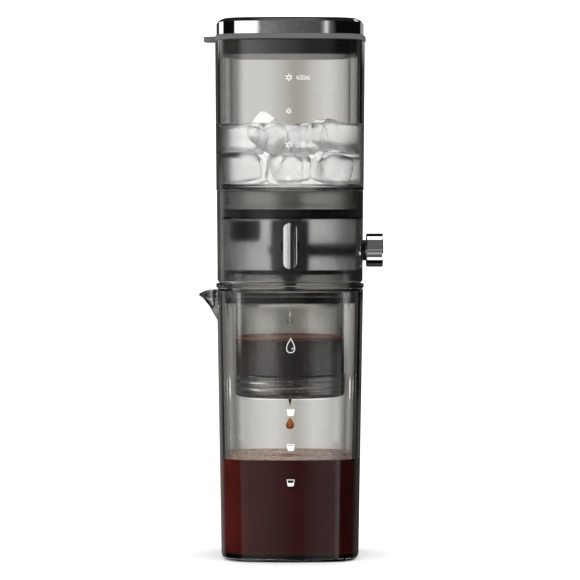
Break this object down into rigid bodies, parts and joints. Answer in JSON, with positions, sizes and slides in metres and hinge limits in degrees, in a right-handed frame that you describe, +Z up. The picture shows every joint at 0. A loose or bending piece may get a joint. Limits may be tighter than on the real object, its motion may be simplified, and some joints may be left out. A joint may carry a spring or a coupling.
{
  "type": "cold brew coffee maker",
  "caption": "Square-round slow-drip tower: ice water tank with a side needle-valve knob and a front on-off tap over a brew cup hung in a spouted carafe.",
  "frame": {"origin": "on the tower's axis at the underside of the carafe, which stands on the table", "axes": "+Z up, -Y to the front where the on-off tap is, the spout towards -X and the flow knob towards +X"},
  "size_m": [0.1039, 0.0921, 0.3],
  "materials": {
    "smoke_clear": "transparent smoke-grey copolyester, polished",
    "smoke_frosted": "transparent smoke-grey plastic, polished outside and fine-matt inside",
    "black_silicone": "matt black silicone",
    "grey_silicone": "matt dark grey silicone",
    "dark_chrome": "dark chrome plating, polished",
    "bright_chrome": "bright chrome plating, polished",
    "black_plastic": "black moulded plastic",
    "grey_plastic": "grey moulded plastic",
    "steel": "stainless steel"
  },
  "bodies": {
    "carafe": {"carafe_shell": "smoke_clear"},
    "brew_cup": {"cup_body": "smoke_clear", "collar_gasket": "black_silicone"},
    "filter_pack": {"filter_disc": "steel", "filter_gasket": "black_silicone"},
    "filter_base": {"filter_base": "smoke_clear"},
    "dripper": {"tank_shell": "smoke_clear", "housing_shell": "smoke_frosted", "floor_gasket": "black_silicone", "base_plate": "smoke_frosted", "valve_body": "black_plastic", "inlet_strainer": "steel", "bore_plug": "black_plastic", "stem_sleeve": "black_plastic", "drip_nozzle": "black_plastic", "vent_cover": "black_plastic", "tap_bush": "black_plastic"},
    "tap": {"tap_handle": "bright_chrome", "tap_spindle": "grey_plastic", "tap_oring": "black_silicone"},
    "flow_knob": {"flow_knob": "dark_chrome", "knob_screw": "steel", "knob_stem": "steel", "stem_orings": "black_silicone"},
    "needle": {"needle": "steel"},
    "lid": {"lid_cap": "dark_chrome", "lid_gasket": "grey_silicone", "lid_plug": "black_plastic"}
  },
  "joints": [
    {"name": "cup_lift", "type": "slide", "parent": "carafe", "child": "brew_cup", "axis": [0, 0, 1], "range_m": [0, 0.07]},
    {"name": "dripper_lift", "type": "slide", "parent": "brew_cup", "child": "dripper", "axis": [0, 0, 1], "range_m": [0, 0.03]},
    {"name": "lid_lift", "type": "slide", "parent": "dripper", "child": "lid", "axis": [0, 0, 1], "range_m": [0, 0.04]},
    {"name": "tap_turn", "type": "hinge", "parent": "dripper", "child": "tap", "pos_m": [0, -0.0415, 0.1746], "axis": [0, 1, 0], "range_deg": [0, 90]},
    {"name": "knob_turn", "type": "hinge", "parent": "dripper", "child": "flow_knob", "pos_m": [0.0475, 0, 0.1714], "axis": [1, 0, 0], "range_deg": [-180, 360]},
    {"name": "needle_travel", "type": "slide", "parent": "dripper", "child": "needle", "axis": [1, 0, 0], "range_m": [-0.00061, 0.00121]},
    {"name": "filter_drop", "type": "slide", "parent": "brew_cup", "child": "filter_pack", "axis": [0, 0, -1], "range_m": [0, 0.00801]},
    {"name": "filter_turn", "type": "hinge", "parent": "filter_pack", "child": "filter_base", "pos_m": [0, 0, 0.0957], "axis": [0, 0, -1], "range_deg": [0, 720]}
  ],
  "couplings": [
    {"joint": "needle_travel", "follows": "knob_turn", "m_per_rad": 0.00019099},
    {"joint": "filter_drop", "follows": "filter_turn", "m_per_rad": 0.00063662}
  ]
}
